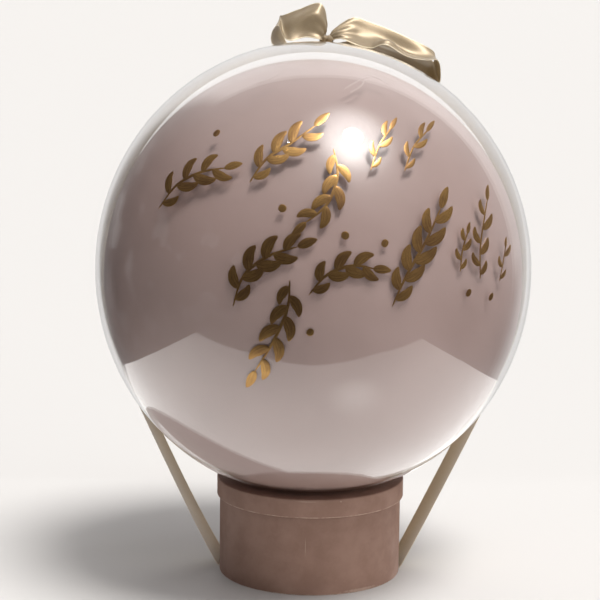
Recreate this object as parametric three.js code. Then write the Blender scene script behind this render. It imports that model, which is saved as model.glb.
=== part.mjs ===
// Gender reveal balloon: a clear bubble balloon resting on a round lidded hat box, held down by a
// satin ribbon that runs up from the foot of the box, over the balloon and into a bow on top.
// Millimetres, +Z up, the front faces -Y, and the origin is the middle of the box's underside.

import * as THREE from 'three';

// Hat box: a board drum with a lid that slides over it
const LID_DIAMETER = 200;
const LID_RIM_HEIGHT = 20;
const LID_EDGE_RADIUS = 1.5;
const LID_CLEARANCE = 1;
const BOARD_THICKNESS = 2;
const BOX_HEIGHT = 104;

// Balloon: an upright spheroid of film, pressed flat where it rests on the lid
const BALLOON_WIDTH = 459;
const BALLOON_HEIGHT = 463;
const BALLOON_PRESSED_DEPTH = 16;
const BALLOON_SETTLING_DEPTH = 10;

// Ribbon: one width for the two straps, the run over the balloon and the bow
const RIBBON_WIDTH = 40;
const RIBBON_THICKNESS = 0.8;
const RIBBON_FOOT_BACK = 18;
const RIBBON_FOOT_HEIGHT = 1;
const RIBBON_LEAN = 4.9;

// Bow: how far each loop reaches from the middle of the knot, and the knot's own size
const LEFT_LOOP_REACH = 58;
const RIGHT_LOOP_REACH = 122;
const KNOT_RIGHT = 10.5;
const KNOT_LENGTH = 15;
const KNOT_DEPTH = 24;
const KNOT_HEIGHT = 12;

// Clearances that keep touching pieces apart
const REST_GAP = 0.3;
const RIBBON_GAP = 0.5;
const LOOP_ROOT_GAP = 1;

// Fineness of the round surfaces
const ROUND_STEPS = 72;
const BALLOON_RINGS = 26;
const LID_EDGE_STEPS = 3;
const OVER_STEPS = 84;
const STRAP_STEPS = 10;
const RIBBON_CROSS_STEPS = 3;
const LOOP_STEPS = 36;
const LOOP_CROSS_STEPS = 4;
const KNOT_STEPS = 18;
const KNOT_RINGS = 8;

// Sizes worked out from those above
const lidRadius = LID_DIAMETER / 2;
const lidBoreRadius = lidRadius - BOARD_THICKNESS;
const wallRadius = lidBoreRadius - LID_CLEARANCE;
const balloonRadius = BALLOON_WIDTH / 2;
const balloonHalfHeight = (BALLOON_HEIGHT + BALLOON_PRESSED_DEPTH) / 2;
const balloonBottom = BOX_HEIGHT + REST_GAP;
const balloonMiddle = balloonBottom + balloonHalfHeight - BALLOON_PRESSED_DEPTH;
const lean = THREE.MathUtils.degToRad(RIBBON_LEAN);

function finish(colour, roughness, metalness = 0) {
  return new THREE.MeshStandardMaterial({ color: colour, roughness, metalness });
}

function namedMesh(name, geometry, material) {
  const mesh = new THREE.Mesh(geometry, material);
  mesh.name = name;
  return mesh;
}

// Turns a profile of [radius, height] pairs about the upright axis.
function turned(profile, steps = ROUND_STEPS) {
  const points = profile.map(([radius, height]) => new THREE.Vector2(radius, height));
  return new THREE.LatheGeometry(points, steps).rotateX(Math.PI / 2);
}

// Hat box

function boxBase() {
  const wallTop = BOX_HEIGHT - BOARD_THICKNESS - REST_GAP;
  const boreRadius = wallRadius - BOARD_THICKNESS;
  return turned([
    [0, 0],
    [wallRadius, 0],
    [wallRadius, wallTop],
    [boreRadius, wallTop],
    [boreRadius, BOARD_THICKNESS],
    [0, BOARD_THICKNESS],
  ]);
}

function boxLid() {
  const profile = [
    [0, BOX_HEIGHT - BOARD_THICKNESS],
    [lidBoreRadius, BOX_HEIGHT - BOARD_THICKNESS],
    [lidBoreRadius, BOX_HEIGHT - LID_RIM_HEIGHT],
    [lidRadius, BOX_HEIGHT - LID_RIM_HEIGHT],
  ];
  for (let i = 0; i <= LID_EDGE_STEPS; i++) {
    const angle = (Math.PI / 2) * (i / LID_EDGE_STEPS);
    profile.push([
      lidRadius - LID_EDGE_RADIUS * (1 - Math.cos(angle)),
      BOX_HEIGHT - LID_EDGE_RADIUS * (1 - Math.sin(angle)),
    ]);
  }
  profile.push([0, BOX_HEIGHT]);
  return turned(profile);
}

// Balloon

// Lifts a height below the flat underside up to it, with a soft turn between flat and round.
function settled(height) {
  const above = height - balloonBottom;
  if (above >= BALLOON_SETTLING_DEPTH) return height;
  const rise = Math.max(0, above + BALLOON_SETTLING_DEPTH);
  return balloonBottom + (rise * rise) / (4 * BALLOON_SETTLING_DEPTH);
}

function bubbleBalloon() {
  const flatEdge = balloonBottom - BALLOON_SETTLING_DEPTH;
  const start = Math.asin((flatEdge - balloonMiddle) / balloonHalfHeight);
  const profile = [[0, balloonBottom]];
  for (let i = 0; i < BALLOON_RINGS; i++) {
    const angle = THREE.MathUtils.lerp(start, Math.PI / 2, i / BALLOON_RINGS);
    const height = balloonMiddle + balloonHalfHeight * Math.sin(angle);
    profile.push([balloonRadius * Math.cos(angle), settled(height)]);
  }
  profile.push([0, balloonMiddle + balloonHalfHeight]);
  return turned(profile);
}

// Height of the balloon's upper surface over a place in plan, with a clearance added all round.
function filmTop(x, y, clearance = 0) {
  const radius = balloonRadius + clearance;
  const halfHeight = balloonHalfHeight + clearance;
  return balloonMiddle + halfHeight * Math.sqrt(1 - (x * x + y * y) / (radius * radius));
}

// Ribbon sheets

// Thickens a grid of points into a closed sheet. The points are its inner side, and it grows to
// the side from which the first direction, crossed with the second, points.
function sheet(pointAt, steps, crossSteps, thickness) {
  const inner = [];
  for (let i = 0; i <= steps; i++) {
    for (let j = 0; j <= crossSteps; j++) inner.push(pointAt(i / steps, j / crossSteps));
  }
  const at = (i, j) => i * (crossSteps + 1) + j;
  const clampStep = (value, top) => Math.min(Math.max(value, 0), top);
  const outer = inner.map((point, index) => {
    const i = Math.floor(index / (crossSteps + 1));
    const j = index % (crossSteps + 1);
    const along = inner[at(clampStep(i + 1, steps), j)].clone();
    along.sub(inner[at(clampStep(i - 1, steps), j)]);
    const across = inner[at(i, clampStep(j + 1, crossSteps))].clone();
    across.sub(inner[at(i, clampStep(j - 1, crossSteps))]);
    return along.cross(across).normalize().multiplyScalar(thickness).add(point);
  });
  const faces = [];
  const quad = (a, b, c, d) => faces.push(a, b, c, a, c, d);
  const top = inner.length;
  for (let i = 0; i < steps; i++) {
    for (let j = 0; j < crossSteps; j++) {
      quad(top + at(i, j), top + at(i + 1, j), top + at(i + 1, j + 1), top + at(i, j + 1));
      quad(at(i, j), at(i, j + 1), at(i + 1, j + 1), at(i + 1, j));
    }
    quad(at(i, 0), at(i + 1, 0), top + at(i + 1, 0), top + at(i, 0));
    quad(at(i + 1, crossSteps), at(i, crossSteps), top + at(i, crossSteps), top + at(i + 1, crossSteps));
  }
  for (let j = 0; j < crossSteps; j++) {
    quad(at(0, j + 1), at(0, j), top + at(0, j), top + at(0, j + 1));
    quad(at(steps, j), at(steps, j + 1), top + at(steps, j + 1), top + at(steps, j));
  }
  const positions = [...inner, ...outer].flatMap((point) => point.toArray());
  const geometry = new THREE.BufferGeometry();
  geometry.setAttribute('position', new THREE.Float32BufferAttribute(positions, 3));
  geometry.setIndex(faces);
  return geometry;
}

// The ribbon is cut into upright ribs, each in its own plane, which leans back by RIBBON_LEAN.
// Each rib runs straight from the wall's foot until it touches the balloon, then follows the film.
function ribAt(share) {
  const radius = balloonRadius + RIBBON_GAP;
  const halfHeight = balloonHalfHeight + RIBBON_GAP;
  const backAtMiddle = RIBBON_FOOT_BACK + balloonMiddle * Math.tan(lean);
  const spread = RIBBON_WIDTH * Math.cos(Math.asin(backAtMiddle / radius));
  const back = RIBBON_FOOT_BACK + (share - 0.5) * spread;
  const [sin, cos] = [Math.sin(lean), Math.cos(lean)];
  const stretch = (sin / radius) ** 2 + (cos / halfHeight) ** 2;
  const middle = ((balloonMiddle * cos) / halfHeight ** 2 - (back * sin) / radius ** 2) / stretch;
  const fill = stretch * middle ** 2 + 1 - (back / radius) ** 2 - (balloonMiddle / halfHeight) ** 2;
  const halfWidth = radius * Math.sqrt(fill);
  const halfRun = Math.sqrt(fill / stretch);
  const place = (x, run) => new THREE.Vector3(x, back + run * sin, run * cos);

  const footRun = RIBBON_FOOT_HEIGHT / cos;
  const footBack = back + footRun * sin;
  const footX = Math.sqrt((wallRadius + RIBBON_GAP) ** 2 - footBack ** 2);
  const footU = footX / halfWidth;
  const footV = (footRun - middle) / halfRun;
  const touch = Math.atan2(footV, footU) + Math.acos(1 / Math.hypot(footU, footV));
  const onFilm = (angle) => place(halfWidth * Math.cos(angle), middle + halfRun * Math.sin(angle));
  return { foot: place(footX, footRun), touch, onFilm };
}

function ribbonOverBalloon() {
  const trim = RIBBON_GAP / balloonRadius;
  const pointAt = (along, share) => {
    const rib = ribAt(share);
    const first = Math.PI - rib.touch - trim;
    return rib.onFilm(THREE.MathUtils.lerp(first, rib.touch + trim, along));
  };
  return sheet(pointAt, OVER_STEPS, RIBBON_CROSS_STEPS, RIBBON_THICKNESS);
}

// side is -1 for the left strap and 1 for the right one.
function ribbonStrap(side) {
  const pointAt = (along, share) => {
    const rib = ribAt(share);
    const start = side < 0 ? rib.foot : rib.onFilm(rib.touch);
    const end = side < 0 ? rib.onFilm(rib.touch) : rib.foot;
    const point = start.clone().lerp(end, along);
    point.x *= side;
    return point;
  };
  return sheet(pointAt, STRAP_STEPS, RIBBON_CROSS_STEPS, RIBBON_THICKNESS);
}

// Bow

// A loop is a band that leaves the knot, stands up, turns over at its tip and comes back along the
// film. Each station gives its front edge and its rear edge: along is a share of the way from the
// knot to the loop's tip, and back and lift (above the film) are shares of the ribbon's width.
const LEFT_LOOP = [
  { front: { along: 0, back: -0.1, lift: 0.12 }, rear: { along: 0, back: 0.1, lift: 0.3 } },
  { front: { along: 0.05, back: -0.22, lift: 0.12 }, rear: { along: -0.09, back: 0.15, lift: 0.72 } },
  { front: { along: 0.32, back: -0.2, lift: 0.18 }, rear: { along: 0.04, back: 0.18, lift: 1.18 } },
  { front: { along: 0.6, back: -0.33, lift: 0.1 }, rear: { along: 0.48, back: 0.35, lift: 1.08 } },
  { front: { along: 0.75, back: -0.25, lift: 0.22 }, rear: { along: 0.77, back: 0.5, lift: 1.04 } },
  { front: { along: 0.86, back: -0.2, lift: 0.56 }, rear: { along: 0.85, back: 0.72, lift: 1.12 } },
  { front: { along: 0.97, back: -0.18, lift: 0.5 }, rear: { along: 0.84, back: 0.76, lift: 0.96 } },
  { front: { along: 1, back: -0.18, lift: 0.26 }, rear: { along: 0.78, back: 0.77, lift: 0.68 } },
  { front: { along: 0.92, back: -0.18, lift: 0.08 }, rear: { along: 0.68, back: 0.76, lift: 0.36 } },
  { front: { along: 0.51, back: -0.14, lift: 0.06 }, rear: { along: 0.42, back: 0.7, lift: 0.24 } },
  { front: { along: 0, back: -0.1, lift: 0.05 }, rear: { along: 0, back: 0.1, lift: 0.06 } },
];

const RIGHT_LOOP = [
  { front: { along: 0, back: -0.1, lift: 0.12 }, rear: { along: 0, back: 0.1, lift: 0.3 } },
  { front: { along: 0.1, back: -0.24, lift: 0.17 }, rear: { along: 0.04, back: 0.2, lift: 0.56 } },
  { front: { along: 0.23, back: -0.3, lift: 0.08 }, rear: { along: 0.21, back: 0.36, lift: 0.99 } },
  { front: { along: 0.36, back: -0.3, lift: 0.08 }, rear: { along: 0.37, back: 0.4, lift: 0.99 } },
  { front: { along: 0.49, back: -0.38, lift: 0.2 }, rear: { along: 0.56, back: 0.4, lift: 1 } },
  { front: { along: 0.7, back: -0.38, lift: 0.17 }, rear: { along: 0.75, back: 0.42, lift: 1.04 } },
  { front: { along: 0.86, back: -0.4, lift: 0.3 }, rear: { along: 0.9, back: 0.42, lift: 1.1 } },
  { front: { along: 0.97, back: -0.38, lift: 0.64 }, rear: { along: 0.96, back: 0.46, lift: 1.08 } },
  { front: { along: 1, back: -0.36, lift: 0.42 }, rear: { along: 0.95, back: 0.52, lift: 0.86 } },
  { front: { along: 0.97, back: -0.3, lift: 0.12 }, rear: { along: 0.92, back: 0.6, lift: 0.66 } },
  { front: { along: 0.81, back: -0.18, lift: 0.06 }, rear: { along: 0.77, back: 0.66, lift: 0.66 } },
  { front: { along: 0.41, back: -0.1, lift: 0.06 }, rear: { along: 0.39, back: 0.66, lift: 0.5 } },
  { front: { along: 0.15, back: -0.1, lift: 0.06 }, rear: { along: 0.15, back: 0.4, lift: 0.2 } },
  { front: { along: 0, back: -0.1, lift: 0.05 }, rear: { along: 0, back: 0.1, lift: 0.06 } },
];

// The middle of the ribbon where the knot sits, on the outer side of the ribbon.
function knotSeat() {
  const rib = ribAt(0.5);
  const back = rib.onFilm(Math.PI / 2).y;
  const height = filmTop(KNOT_RIGHT, back, RIBBON_GAP + RIBBON_THICKNESS);
  return new THREE.Vector3(KNOT_RIGHT, back, height);
}

function edgeCurve(stations, edge, side, reach) {
  const seat = knotSeat();
  const clearance = RIBBON_GAP + RIBBON_THICKNESS;
  const root = KNOT_LENGTH / 2 + LOOP_ROOT_GAP;
  const points = stations.map((station) => {
    const place = station[edge];
    const x = seat.x + side * THREE.MathUtils.lerp(root, reach, place.along);
    const y = seat.y + place.back * RIBBON_WIDTH;
    return new THREE.Vector3(x, y, filmTop(x, y, clearance) + place.lift * RIBBON_WIDTH);
  });
  return new THREE.CatmullRomCurve3(points, false, 'centripetal');
}

function bowLoop(stations, side, reach) {
  const front = edgeCurve(stations, 'front', side, reach);
  const rear = edgeCurve(stations, 'rear', side, reach);
  const pointAt = (along, share) => {
    const across = side < 0 ? 1 - share : share;
    return front.getPoint(along).lerp(rear.getPoint(along), across);
  };
  return sheet(pointAt, LOOP_STEPS, LOOP_CROSS_STEPS, RIBBON_THICKNESS);
}

// A soft barrel lying along the ribbon, rounder in the middle than at its two ends.
function bowKnot() {
  const profile = [];
  for (let i = 0; i <= KNOT_RINGS; i++) {
    const angle = Math.PI * (i / KNOT_RINGS - 0.5);
    const radius = Math.sqrt(Math.cos(angle)) * (KNOT_HEIGHT / 2);
    profile.push([i % KNOT_RINGS ? radius : 0, Math.sin(angle) * (KNOT_LENGTH / 2)]);
  }
  const barrel = turned(profile, KNOT_STEPS);
  return barrel.rotateY(Math.PI / 2).scale(1, KNOT_DEPTH / KNOT_HEIGHT, 1);
}

function placeKnot(mesh) {
  const seat = knotSeat();
  const normal = new THREE.Vector3(seat.x, seat.y, 0).divideScalar(balloonRadius ** 2);
  normal.z = (seat.z - balloonMiddle) / balloonHalfHeight ** 2;
  normal.normalize();
  mesh.quaternion.setFromUnitVectors(new THREE.Vector3(0, 0, 1), normal);
  mesh.position.copy(seat).addScaledVector(normal, KNOT_HEIGHT / 2 + REST_GAP);
  return mesh;
}

// Assembly

const satin = () => finish(0xb29a72, 0.32, 0.1);
const card = () => finish(0x7c6155, 0.8);

const hatBox = new THREE.Group();
hatBox.add(
  namedMesh('box_base', boxBase(), card()),
  namedMesh('box_lid', boxLid(), card()),
);

const ribbon = new THREE.Group();
ribbon.add(
  namedMesh('ribbon_over_balloon', ribbonOverBalloon(), satin()),
  namedMesh('ribbon_strap_left', ribbonStrap(-1), satin()),
  namedMesh('ribbon_strap_right', ribbonStrap(1), satin()),
  namedMesh('bow_loop_left', bowLoop(LEFT_LOOP, -1, LEFT_LOOP_REACH), satin()),
  namedMesh('bow_loop_right', bowLoop(RIGHT_LOOP, 1, RIGHT_LOOP_REACH), satin()),
  placeKnot(namedMesh('bow_knot', bowKnot(), satin())),
);

const part = new THREE.Group();
part.add(hatBox, namedMesh('bubble_balloon', bubbleBalloon(), finish(0xb5a29d, 0.12)), ribbon);

export default part;
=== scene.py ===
"""Gender reveal balloon: a clear bubble balloon on a round hat box, tied down with satin ribbon.

All lengths are in metres. +Z is up, the painted front faces -Y, and the origin is the middle of
the box's underside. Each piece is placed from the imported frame's own boxes.
"""

import logging
import math
import random
from dataclasses import dataclass, field
from enum import Enum
from typing import Callable, Sequence, Union

import bmesh
import bpy
from mathutils import Matrix, Vector

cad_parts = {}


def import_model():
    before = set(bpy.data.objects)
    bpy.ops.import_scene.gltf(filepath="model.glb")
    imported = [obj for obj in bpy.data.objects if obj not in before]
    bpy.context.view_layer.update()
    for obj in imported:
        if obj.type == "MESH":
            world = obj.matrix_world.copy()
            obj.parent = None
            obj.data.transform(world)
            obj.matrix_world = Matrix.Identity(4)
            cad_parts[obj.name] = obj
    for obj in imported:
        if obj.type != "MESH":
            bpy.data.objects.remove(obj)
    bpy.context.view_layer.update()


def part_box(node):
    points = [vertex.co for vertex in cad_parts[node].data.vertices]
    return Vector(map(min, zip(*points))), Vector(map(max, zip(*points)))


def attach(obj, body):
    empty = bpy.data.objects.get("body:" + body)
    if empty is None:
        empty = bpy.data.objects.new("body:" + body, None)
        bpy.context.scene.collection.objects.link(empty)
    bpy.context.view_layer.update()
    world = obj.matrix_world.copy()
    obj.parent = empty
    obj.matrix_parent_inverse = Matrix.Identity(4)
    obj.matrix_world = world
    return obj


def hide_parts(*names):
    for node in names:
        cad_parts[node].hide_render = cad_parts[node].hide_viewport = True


Object = bpy.types.Object
Material = bpy.types.Material
Socket = bpy.types.NodeSocket
Number = Union[Socket, float]
Triple = tuple[float, float, float]
Colour = Triple
PlanePoint = tuple[float, float]

LOG = logging.getLogger("reveal_balloon")
BODY = "root"
MM = 0.001
UP = Vector((0.0, 0.0, 1.0))

# A face looks up or down when its normal's Z is beyond the first, and is upright within the second
LOOKS_UP = 0.9
UPRIGHT = 0.1

# UV maps that say how far across and how far along a ribbon or a stroke a place is, in metres
RIBBON_RUN = "ribbon_run"
STROKE_RUN = "stroke_run"


class Slot(Enum):
    """The material slots."""

    CARD = "box_card"
    FILM = "clear_film"
    SATIN = "satin_ribbon"
    LATEX = "inner_balloon"
    GOLD = "gold_paint"


class Side(Enum):
    """Which way a loop of the bow lies from the knot."""

    LEFT = -1
    RIGHT = 1


# Helpers for objects and edit mode


def deselect_all() -> None:
    """Leaves edit mode and selects nothing."""
    if bpy.context.object is not None and bpy.context.object.mode != "OBJECT":
        bpy.ops.object.mode_set(mode="OBJECT")
    bpy.ops.object.select_all(action="DESELECT")


def make_active(obj: Object) -> None:
    """Selects one object alone and makes it the active one.

    Args:
        obj: The object to work on.
    """
    deselect_all()
    obj.select_set(True)
    bpy.context.view_layer.objects.active = obj


def edit(obj: Object, everything: bool = False) -> bmesh.types.BMesh:
    """Opens an object in edit mode.

    Args:
        obj: The object to open.
        everything: Whether all of it is selected at first, or nothing.

    Returns:
        The mesh that is being edited.
    """
    make_active(obj)
    bpy.ops.object.mode_set(mode="EDIT")
    bpy.ops.mesh.select_mode(type="FACE")
    bpy.ops.mesh.select_all(action="SELECT" if everything else "DESELECT")
    return bmesh.from_edit_mesh(obj.data)


def select_faces(obj: Object, keep: Callable[[bmesh.types.BMFace], bool]) -> None:
    """Selects the faces for which keep is true, in edit mode.

    Args:
        obj: The object that is open in edit mode.
        keep: The test on a face.
    """
    mesh = bmesh.from_edit_mesh(obj.data)
    bpy.ops.mesh.select_all(action="DESELECT")
    for face in mesh.faces:
        if keep(face):
            face.select_set(True)
    mesh.select_flush_mode()
    bmesh.update_edit_mesh(obj.data)


def close_edit() -> None:
    """Goes back to object mode."""
    bpy.ops.object.mode_set(mode="OBJECT")


def settle_place(obj: Object) -> None:
    """Moves an object's place, turn and size into its mesh."""
    make_active(obj)
    bpy.ops.object.transform_apply(location=True, rotation=True, scale=True)


def smooth(obj: Object, degrees: float = 40.0) -> None:
    """Shades an object smooth, but for edges that turn by more than an angle."""
    make_active(obj)
    bpy.ops.object.shade_smooth_by_angle(angle=math.radians(degrees))


def add_primitive(
    name: str, add: Callable[..., object], place: Sequence[float] = (0.0, 0.0, 0.0), **sizes: object
) -> Object:
    """Adds a primitive to start from.

    Args:
        name: The object's name.
        add: The operator that adds it.
        place: Its middle.
        **sizes: The operator's other values.

    Returns:
        The new object, which alone is selected.
    """
    deselect_all()
    add(location=place, **sizes)
    obj = bpy.context.object
    obj.name = obj.data.name = name
    return obj


def add_mesh(name: str, points: Sequence[Vector], faces: Sequence[Sequence[int]]) -> Object:
    """Adds an object made from points and faces.

    Args:
        name: The object's name.
        points: The vertices' places.
        faces: The faces, as indices of points.

    Returns:
        The new object.
    """
    mesh = bpy.data.meshes.new(name)
    mesh.from_pydata([tuple(point) for point in points], [], [tuple(face) for face in faces])
    mesh.update()
    obj = bpy.data.objects.new(name, mesh)
    bpy.context.scene.collection.objects.link(obj)
    return obj


def map_run(obj: Object, name: str, runs: Sequence[PlanePoint]) -> None:
    """Gives a sheet a UV map in metres.

    Args:
        obj: The sheet.
        name: The map's name.
        runs: How far across and how far along each vertex is.
    """
    uv_map = obj.data.uv_layers.new(name=name)
    for loop in obj.data.loops:
        uv_map.data[loop.index].uv = runs[loop.vertex_index]


def add_grid(
    name: str,
    point_at: Callable[[float, float], Vector],
    steps: int,
    cross_steps: int,
    length: float,
    width: float,
) -> Object:
    """Adds a length of ribbon as a sheet without thickness.

    Args:
        name: The object's name.
        point_at: Gives the place for a share of the length and a share of the width.
        steps: How many rows of faces the length has.
        cross_steps: How many faces a row has.
        length: The ribbon's length, for its UV map.
        width: Its width, for the same.

    Returns:
        The new object.
    """
    points, runs, faces = [], [], []
    for i in range(steps + 1):
        for j in range(cross_steps + 1):
            points.append(point_at(i / steps, j / cross_steps))
            runs.append((j / cross_steps * width, i / steps * length))
    row = cross_steps + 1
    for i in range(steps):
        for j in range(cross_steps):
            first = i * row + j
            faces.append((first, first + row, first + row + 1, first + 1))
    obj = add_mesh(name, points, faces)
    map_run(obj, RIBBON_RUN, runs)
    return obj


def thicken(obj: Object, thickness: float, offset: float) -> None:
    """Gives a sheet its thickness.

    Args:
        obj: The sheet.
        thickness: How thick it becomes.
        offset: 1 grows it along its normals, and -1 against them.
    """
    solidify = obj.modifiers.new("thickness", "SOLIDIFY")
    solidify.thickness = thickness
    solidify.offset = offset
    make_active(obj)
    bpy.ops.object.modifier_apply(modifier=solidify.name)


def run_length(places: Sequence[Vector]) -> float:
    """Returns the length of the line through places."""
    return sum((end - start).length for start, end in zip(places, places[1:]))


def on_curve(points: Sequence[Vector], share: float) -> Vector:
    """Finds a place on a smooth curve through points.

    Args:
        points: What the curve passes through.
        share: How far along it the place is, from 0 to 1.

    Returns:
        The place.
    """
    last = len(points) - 1
    step = min(int(share * last), last - 1)
    t = share * last - step
    before, start = points[max(step - 1, 0)], points[step]
    end, after = points[step + 1], points[min(step + 2, last)]
    return 0.5 * (
        2 * start
        + (end - before) * t
        + (2 * before - 5 * start + 4 * end - after) * t * t
        + (3 * start - before - 3 * end + after) * t**3
    )


def hide_from(obj: Object, *rays: str) -> None:
    """Hides an object from kinds of rays, such as camera, glossy or shadow."""
    for ray in rays:
        setattr(obj, f"visible_{ray}", False)


def hand_over(obj: Object, material: Material, slot: Slot, replaced: Sequence[str] = ()) -> Object:
    """Gives a finished piece its material and its body, and hides the nodes that it stands for.

    Args:
        obj: The finished piece.
        material: Its material.
        slot: The slot that it takes its finish from. It is not used.
        replaced: The nodes that it stands for.

    Returns:
        The piece.
    """
    obj.data.materials.clear()
    obj.data.materials.append(material)
    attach(obj, BODY)
    if replaced:
        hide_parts(*replaced)
    LOG.info("%s: %d faces", obj.name, len(obj.data.polygons))
    return obj


# Materials


class Shader:
    """A node tree that is built a node at a time."""

    def __init__(self, name: str) -> None:
        """Starts a material with one principled shader.

        Args:
            name: The material's name.
        """
        self.material = bpy.data.materials.new(name)
        self.material.use_nodes = True
        self.tree = self.material.node_tree
        self.tree.nodes.clear()
        self.surface = self.node("ShaderNodeBsdfPrincipled")
        output = self.node("ShaderNodeOutputMaterial")
        self.link(self.surface.outputs[0], output.inputs["Surface"])

    def node(self, kind: str, **values: object) -> bpy.types.Node:
        """Adds a node.

        Args:
            kind: The node's type.
            **values: Its properties.

        Returns:
            The node.
        """
        node = self.tree.nodes.new(kind)
        for key, value in values.items():
            setattr(node, key, value)
        return node

    def link(self, source: Socket, target: Socket) -> None:
        """Joins two sockets."""
        self.tree.links.new(source, target)

    def put(self, target: Socket, value: object) -> None:
        """Sets a socket to a value, or joins it to another socket.

        Args:
            target: The input.
            value: A number, a vector, a colour or an output socket.
        """
        if isinstance(value, Socket):
            self.link(value, target)
        else:
            target.default_value = value

    def plain(self, **values: object) -> None:
        """Sets the shader's own sockets, with an underscore for each space in a name."""
        for key, value in values.items():
            self.put(self.surface.inputs[key.replace("_", " ")], value)

    def place(self) -> Socket:
        """Returns the object's own coordinates, in metres."""
        return self.node("ShaderNodeTexCoord").outputs["Object"]

    def run(self, uv_map: str) -> Socket:
        """Returns how far across and how far along a sheet the place is, in metres."""
        return self.node("ShaderNodeUVMap", uv_map=uv_map).outputs["UV"]

    def stretched(self, source: Socket, scale: Sequence[float], shift: Sequence[float] = (0, 0, 0)) -> Socket:
        """Multiplies coordinates along each axis, and then shifts them.

        Args:
            source: The coordinates.
            scale: What they are multiplied by.
            shift: What is added.

        Returns:
            The new coordinates.
        """
        mapping = self.node("ShaderNodeMapping")
        self.link(source, mapping.inputs["Vector"])
        mapping.inputs["Scale"].default_value = tuple(scale)
        mapping.inputs["Location"].default_value = tuple(shift)
        return mapping.outputs["Vector"]

    def noise(self, where: Socket, scale: float, detail: float, rough: float = 0.55) -> Socket:
        """Adds a noise.

        Args:
            where: The coordinates.
            scale: How many lumps there are in a unit.
            detail: How many finer layers it has.
            rough: How strong they are.

        Returns:
            The noise, from 0 to 1.
        """
        texture = self.node("ShaderNodeTexNoise")
        self.link(where, texture.inputs["Vector"])
        texture.inputs["Scale"].default_value = scale
        texture.inputs["Detail"].default_value = detail
        texture.inputs["Roughness"].default_value = rough
        return texture.outputs["Fac"]

    def calc(self, operation: str, first: Number, second: Number = 0.0, third: Number = 0.0) -> Socket:
        """Adds a sum on numbers.

        Args:
            operation: The name of the sum.
            first: Its first number.
            second: Its second number.
            third: Its third number.

        Returns:
            The result.
        """
        node = self.node("ShaderNodeMath", operation=operation)
        for socket, number in zip(node.inputs, (first, second, third)):
            self.put(socket, number)
        return node.outputs[0]

    def vector_calc(self, operation: str, first: Socket, second: Triple = (0.0, 0.0, 0.0)) -> Socket:
        """Adds a sum on vectors.

        Args:
            operation: The name of the sum.
            first: Its first vector.
            second: Its second vector.

        Returns:
            The result: a vector for NORMALIZE, and otherwise a number.
        """
        node = self.node("ShaderNodeVectorMath", operation=operation)
        self.link(first, node.inputs[0])
        node.inputs[1].default_value = second
        return node.outputs["Vector" if operation == "NORMALIZE" else "Value"]

    def ramp(self, value: Number, low: float, high: float, start: float = 0.0, end: float = 1.0) -> Socket:
        """Goes smoothly from one number to another while a value goes from low to high.

        Args:
            value: The value that is followed.
            low: Where it starts to count.
            high: Where it stops.
            start: The result below low.
            end: The result above high.

        Returns:
            The result.
        """
        node = self.node("ShaderNodeMapRange", interpolation_type="SMOOTHSTEP")
        sockets = ("Value", "From Min", "From Max", "To Min", "To Max")
        for name, number in zip(sockets, (value, low, high, start, end)):
            self.put(node.inputs[name], number)
        return node.outputs["Result"]

    def blend(self, share: Number, first: Union[Socket, Colour], second: Union[Socket, Colour]) -> Socket:
        """Mixes two colours.

        Args:
            share: 0 gives the first colour, and 1 the second.
            first: The first colour.
            second: The second colour.

        Returns:
            The mixed colour.
        """
        node = self.node("ShaderNodeMix", data_type="RGBA")
        self.put(node.inputs["Factor"], share)
        sockets = [socket for socket in node.inputs if socket.type == "RGBA"]
        for socket, colour in zip(sockets, (first, second)):
            self.put(socket, colour if isinstance(colour, Socket) else (*colour, 1.0))
        return next(socket for socket in node.outputs if socket.type == "RGBA")

    def split(self, where: Socket) -> tuple[Socket, ...]:
        """Splits a vector.

        Args:
            where: The vector.

        Returns:
            Its X, Y and Z.
        """
        node = self.node("ShaderNodeSeparateXYZ")
        self.link(where, node.inputs[0])
        return tuple(node.outputs)

    def bump(self, height: Socket, depth: float, strength: float) -> None:
        """Adds relief on top of any that the surface has.

        Args:
            height: The relief, from 0 to 1.
            depth: How deep 1 is, in metres.
            strength: The share of it that shows.
        """
        node = self.node("ShaderNodeBump")
        node.inputs["Strength"].default_value = strength
        node.inputs["Distance"].default_value = depth
        self.link(height, node.inputs["Height"])
        normal = self.surface.inputs["Normal"]
        if normal.is_linked:
            self.link(normal.links[0].from_socket, node.inputs["Normal"])
        self.link(node.outputs["Normal"], normal)


@dataclass(frozen=True)
class FilmFinish:
    """Clear stretched film: plain values alone, so that it stays clear when it is exported.

    Args:
        tint: Its colour.
        refraction: How much it bends what is seen through it, which film this thin hardly does.
        gloss: The refraction that its shine is worked out from.
    """

    tint: Colour = (1.0, 0.99, 0.985)
    refraction: float = 1.03
    gloss: float = 1.5

    def build(self) -> Material:
        """Makes the material.

        Returns:
            The material.
        """
        shader = Shader("clear_film")
        shader.plain(
            Base_Color=(*self.tint, 1.0),
            Roughness=0.0,
            IOR=self.refraction,
            Transmission_Weight=1.0,
            Coat_Weight=1.0,
            Coat_Roughness=0.0,
            Coat_IOR=self.gloss,
        )
        return shader.material


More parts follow.
